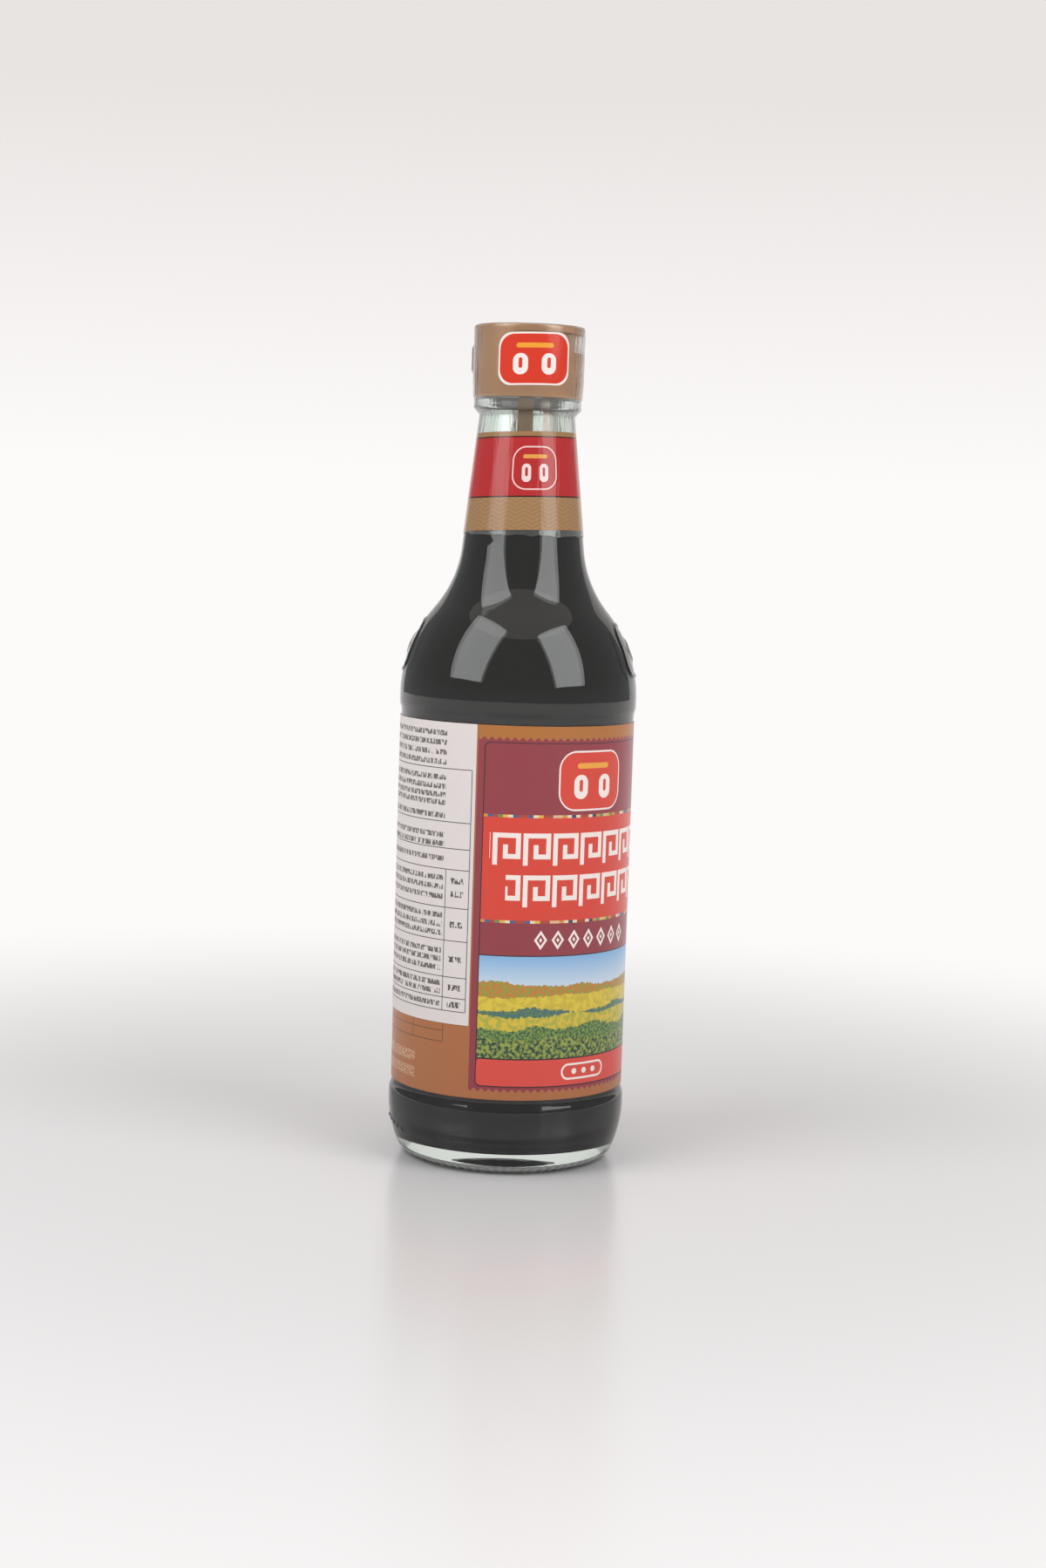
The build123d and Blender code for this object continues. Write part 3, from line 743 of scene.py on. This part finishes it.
def residue():
    """Strips of dried sauce that run down inside the neck."""
    low = FILL + RESIDUE_LOW
    wall = WALL / cos(NECK_TAPER) + RESIDUE_GAP
    for number, (azimuth, width) in enumerate(RESIDUE_STRIPS):
        high = NECK_TOP + RESIDUE_HIGH - RESIDUE_DROP * number
        outer = [(neck_radius(low) - wall, low), (neck_radius(NECK_TOP) - wall, NECK_TOP)]
        outer.append((BORE_R - RESIDUE_INSET, high))
        section = outer + [(r - RESIDUE, z) for r, z in reversed(outer)]
        piece = lathe(f"Sauce_Residue_{number + 1}", section, turn=width, start=azimuth - width / 2)
        place(piece, dried_sauce(), "soy_sauce")


def film_bulge(azimuth, height):
    """How far the film stands out: over the cap's hinge, and in fine upright wrinkles."""
    aside = abs(apart(azimuth, HINGE_AZIMUTH)) / HINGE_SPREAD
    mid = (HINGE_RANGE[0] + HINGE_RANGE[1]) / 2
    up = abs(height - COLLAR_TOP - mid) / (HINGE_RANGE[1] - mid + HINGE_MARGIN)
    across = min(1, HINGE_SIDES * max(0, 1 - aside))
    bulge = (HINGE_PROUD + FILM) * across * min(1, HINGE_SIDES * max(0, 1 - up))
    ring = radians(azimuth)
    folds = noise.noise(Vector((FOLDS * cos(ring), FOLDS * sin(ring), height * FOLD_RISE)))
    return bulge + FOLD_DEPTH * max(0, folds)


def film_outline(grow):
    """Outside or inside of the film, from its lower edge up and in over the lid."""
    points = run((neck_radius(FILM_LOW) + grow, FILM_LOW), (neck_radius(NECK_TOP) + grow, NECK_TOP), 1.2)
    points += run((NECK_TOP_R + grow, NECK_TOP), (BEAD_R + grow, BEAD_LOW + BEAD_ROUND / 2), 0.6)
    points += run((BEAD_R + grow, BEAD_LOW + BEAD_ROUND / 2 + FILM_STEP), (BEAD_R + grow, BEAD_TOP), 0.8)
    points += run((CAP_R - CAP_DRAFT + grow, COLLAR_LOW), (CAP_R + grow, COLLAR_LOW + CAP_FLARE), 0.8)
    points += run((CAP_R + grow, COLLAR_LOW + CAP_FLARE), (CAP_R + grow, LID_TOP - LID_EDGE), 0.6)
    points += arc((CAP_R - LID_EDGE, LID_TOP - LID_EDGE), LID_EDGE + grow, 0, pi / 2, 0.2)
    return points + [(CAP_R - FILM_LIP, LID_TOP + grow)]


def film():
    """The film, standing out over the hinge, with wrinkles and a ragged lower edge."""
    section = film_outline(FILM_GAP + FILM) + list(reversed(film_outline(FILM_GAP)))
    piece = lathe("Shrink_Film", section)
    for vertex in piece.data.vertices:
        radial = Vector((vertex.co.x, vertex.co.y, 0)).normalized()
        height = vertex.co.z / MM
        if height < LID_TOP - 0.3:
            vertex.co += radial * film_bulge(azimuth_of(vertex.co), height) * MM
        if height < FILM_LOW + 0.3:
            vertex.co.z += EDGE_WAVE * MM * noise.noise(EDGE_WAVES * radial)

    def level(point):
        """Height on the print, which was shrunk on a little askew."""
        turn = radians(apart(azimuth_of(point), degrees(VIEW_AZIMUTH)))
        radius = hypot(point.x, point.y)
        return (point.z - radius * (sin(turn) * PRINT_TILT + (cos(turn) - 1) * PRINT_LEAN)) / MM

    unroll(piece, lambda azimuth: radians(apart(azimuth, degrees(VIEW_AZIMUTH))) * PRINT_R, level)
    place(piece, printed_film(), "printed_film", "shrink_film")


def sheet(name, radius, thickness, low, high, turn, start):
    """A sheet of paper on the body, with its print rolled out in millimetres above the label's edge."""
    inner = radius - thickness
    section = [(inner, low), (radius, low), (radius, high), (inner, high)]
    piece = lathe(name, section, turn=turn, start=start)
    unroll(piece, lambda azimuth: radians(azimuth) * radius, lambda point: point.z / MM - LABEL_LOW)
    return piece


def paper():
    """The label all round, with its seam at the back, and the sticker over it."""
    label = sheet("Label", LABEL_R, LABEL_PAPER, LABEL_LOW, LABEL_TOP, 360.0, 180.0)
    place(label, printed_label(), "label_paper", "label")
    sticker = sheet("Sticker", STICKER_R, STICKER_PAPER, STICKER_LOW, LABEL_TOP, STICKER_TURN, STICKER_START)
    place(sticker, printed_sticker(), "sticker_paper", "sticker")


def cap():
    """The two mouldings of the cap keep their CAD shape."""
    plastic = gold_plastic()
    for node in ("cap_collar", "cap_lid"):
        slots = frame["nodes"][node].data.materials
        slots.clear()
        slots.append(plastic)


# ---------------------------------------------------------------- the studio
VIEW_AZIMUTH = radians(-40.5)
VIEW_DISTANCE = 762.4 * MM
VIEW_HEIGHT = 186.5 * MM
VIEW_PITCH = radians(5.691)
VIEW_YAW = radians(0.169)
VIEW_ROLL = radians(1.861)
LENS = 59.47
FLOOR_SIZE = 4.0           # half the floor's side, in metres
FLOOR_FADE = (0.12, 0.45)  # distances in metres over which the board fades into the background
ROOM_R = 2.4
ROOM_HIGH = 3.2
ROOM_TURN = 286.0          # degrees that the dim wall covers, from its start
ROOM_START = -148.5
ROOM_GAP = 0.002           # between the floor and the wall
SOFTBOX_POWER = 5.0
WORLD_LIGHT = 0.42
HORIZON = (0.02, 0.16)     # heights of the direction over which the background greys: painted shade
BOUNCES = 24
AIM = Vector((0, 0, 0.12))  # what the softboxes point at


def heading(azimuth, elevation=0.0):
    """The direction from the bottle at an azimuth, in degrees from the camera's, and an elevation."""
    turn = VIEW_AZIMUTH + radians(azimuth)
    rise = radians(elevation)
    return Vector((sin(turn) * cos(rise), -cos(turn) * cos(rise), sin(rise)))


def camera():
    """The camera, level with the cap and tilted a little down and askew."""
    data = bpy.data.cameras.new("Camera")
    data.sensor_width = 36
    data.sensor_fit = "AUTO"
    data.lens = LENS
    item = bpy.data.objects.new("Camera", data)
    bpy.context.scene.collection.objects.link(item)
    stand = heading(0) * VIEW_DISTANCE
    turn = Matrix.Rotation(VIEW_AZIMUTH, 4, "Z") @ Matrix.Rotation(-VIEW_YAW, 4, "Z")
    tilt = Matrix.Rotation(pi / 2 - VIEW_PITCH, 4, "X")
    roll = Matrix.Rotation(VIEW_ROLL, 4, "Z")
    item.matrix_world = Matrix.Translation((stand.x, stand.y, VIEW_HEIGHT)) @ turn @ tilt @ roll
    bpy.context.scene.camera = item


def softbox(name, azimuth, elevation, distance, wide, high):
    """A studio softbox that faces the bottle."""
    data = bpy.data.lights.new(name, "AREA")
    data.shape = "RECTANGLE"
    data.size = wide
    data.size_y = high
    data.energy = SOFTBOX_POWER
    item = bpy.data.objects.new(name, data)
    bpy.context.scene.collection.objects.link(item)
    item.location = AIM + heading(azimuth, elevation) * distance
    item.rotation_euler = (AIM - item.location).to_track_quat("-Z", "Y").to_euler()


def emission(name, code, strength):
    """A material that glows in one colour."""
    material = bpy.data.materials.new(name)
    material.use_nodes = True
    material.node_tree.nodes.clear()
    glow = add(material.node_tree, "Emission", {"Color": linear(code), "Strength": strength})
    add(material.node_tree, "OutputMaterial", {"Surface": glow})
    return material


def floor():
    """A glossy white board that fades into the white background away from the bottle."""
    work = bmesh.new()
    bmesh.ops.create_grid(work, x_segments=1, y_segments=1, size=FLOOR_SIZE)
    piece = finish("Floor", work)
    material, tree, shader = surface("White acrylic board", {
        "Base Color": linear("#e9e7e8"), "Roughness": 0.22, "IOR": 1.49})
    spot = add(tree, "TexCoord")
    away = add(tree, "VectorMath", {0: spot.outputs["Object"]}, operation="LENGTH")
    fade = add(tree, "MapRange", {0: away.outputs["Value"], 1: FLOOR_FADE[0], 2: FLOOR_FADE[1]},
               interpolation_type="SMOOTHSTEP")
    glow = add(tree, "Emission", {"Color": linear("#fdfafa"), "Strength": 1.0})
    mix = add(tree, "MixShader", {0: fade, 1: shader, 2: glow})
    out = [node for node in tree.nodes if node.bl_idname == "ShaderNodeOutputMaterial"][0]
    tree.links.new(mix.outputs[0], out.inputs["Surface"])
    piece.data.materials.append(material)


def room():
    """The dim room on the camera's side, which only reflections show."""
    work = bmesh.new()
    low = work.verts.new((ROOM_R, 0, ROOM_GAP))
    high = work.verts.new((ROOM_R, 0, ROOM_HIGH))
    edge = work.edges.new((low, high))
    bmesh.ops.spin(work, geom=[low, high, edge], cent=(0, 0, 0), axis=(0, 0, 1), angle=radians(ROOM_TURN),
                   steps=72)
    turn = Matrix.Rotation(VIEW_AZIMUTH + radians(ROOM_START - 90), 3, "Z")
    bmesh.ops.rotate(work, verts=work.verts, cent=(0, 0, 0), matrix=turn)
    piece = finish("Room_Wall", work)
    piece.data.materials.append(emission("Dim room", "#8f9092", 1.0))
    piece.visible_camera = False
    piece.visible_diffuse = False
    piece.visible_transmission = False
    piece.visible_shadow = False


def world():
    """White to the eye and in reflections, greying upwards with painted shade, and dimmer as a light."""
    studio = bpy.data.worlds.new("Studio")
    bpy.context.scene.world = studio
    studio.use_nodes = True
    tree = studio.node_tree
    tree.nodes.clear()
    rays = add(tree, "LightPath")
    seen = add(tree, "Math", {0: rays.outputs["Is Camera Ray"], 1: rays.outputs["Is Glossy Ray"]},
               operation="ADD")
    seen = add(tree, "Math", {0: seen, 1: rays.outputs["Is Transmission Ray"]}, operation="ADD",
               use_clamp=True)
    spot = add(tree, "TexCoord")
    split = add(tree, "SeparateXYZ", {0: spot.outputs["Generated"]})
    rise = add(tree, "MapRange", {0: split.outputs[2], 1: HORIZON[0], 2: HORIZON[1]})
    # The background turns grey higher up: painted shade of the backdrop, also seen in reflections.
    sky = ink(tree, linear("#fdfafa"), rise, "#e8e4e2")
    dim = add(tree, "Background", {"Color": linear("#ffffff"), "Strength": WORLD_LIGHT})
    bright = add(tree, "Background", {"Color": sky.outputs[2], "Strength": 1.0})
    mix = add(tree, "MixShader", {0: seen, 1: dim, 2: bright})
    add(tree, "OutputWorld", {"Surface": mix})


bottle()
sauce()
residue()
cap()
film()
paper()
camera()
floor()
room()
world()
softbox("Softbox_Left", -54, 38, 1.0, 0.64, 0.92)
softbox("Softbox_Right", 52, 34, 1.04, 0.6, 0.9)
scene = bpy.context.scene
scene.view_settings.view_transform = "Standard"
scene.cycles.max_bounces = BOUNCES
scene.cycles.transmission_bounces = BOUNCES
scene.cycles.transparent_max_bounces = BOUNCES
